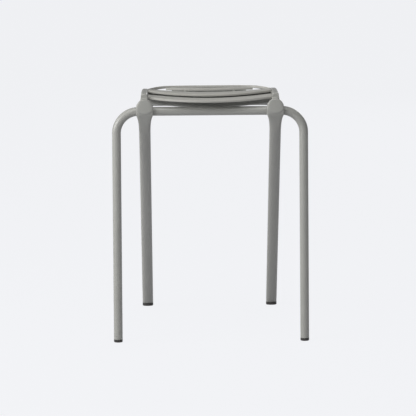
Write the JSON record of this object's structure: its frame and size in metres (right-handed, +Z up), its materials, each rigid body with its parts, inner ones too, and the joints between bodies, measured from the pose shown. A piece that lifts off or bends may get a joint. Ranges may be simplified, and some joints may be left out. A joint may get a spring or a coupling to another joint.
{
  "type": "stacking stool",
  "caption": "Low backless stool of bent steel tube with a slatted, slightly dished seat; the rear legs slant so that stools nest.",
  "frame": {"origin": "on the floor, under the middle of the stool's overall box", "axes": "+Z up, front of the stool towards -Y, +X to the right as seen from the front"},
  "size_m": [0.357, 0.3954, 0.4559],
  "materials": {
    "frame_coat": "satin powder coat, warm grey-green",
    "seat_coat": "satin powder coat, warm grey-green",
    "black_plastic": "matt"
  },
  "bodies": {
    "root": {"front_hoop": "frame_coat", "rear_leg_left": "frame_coat", "rear_leg_right": "frame_coat", "side_rail_left": "frame_coat", "side_rail_right": "frame_coat", "rail_saddle_left": "frame_coat", "rail_saddle_right": "frame_coat", "rail_cap_left": "black_plastic", "rail_cap_right": "black_plastic", "rear_crossbar": "frame_coat", "slat_front": "seat_coat", "slat_second": "seat_coat", "slat_centre": "seat_coat", "slat_fourth": "seat_coat", "slat_rear": "seat_coat", "stiffener_front": "frame_coat", "stiffener_rear": "frame_coat", "seat_rib_left": "frame_coat", "seat_rib_right": "frame_coat", "rail_nose_left": "frame_coat", "rail_nose_right": "frame_coat", "front_foot_left": "black_plastic", "front_foot_right": "black_plastic", "rear_foot_left": "black_plastic", "rear_foot_right": "black_plastic"}
  },
  "joints": []
}
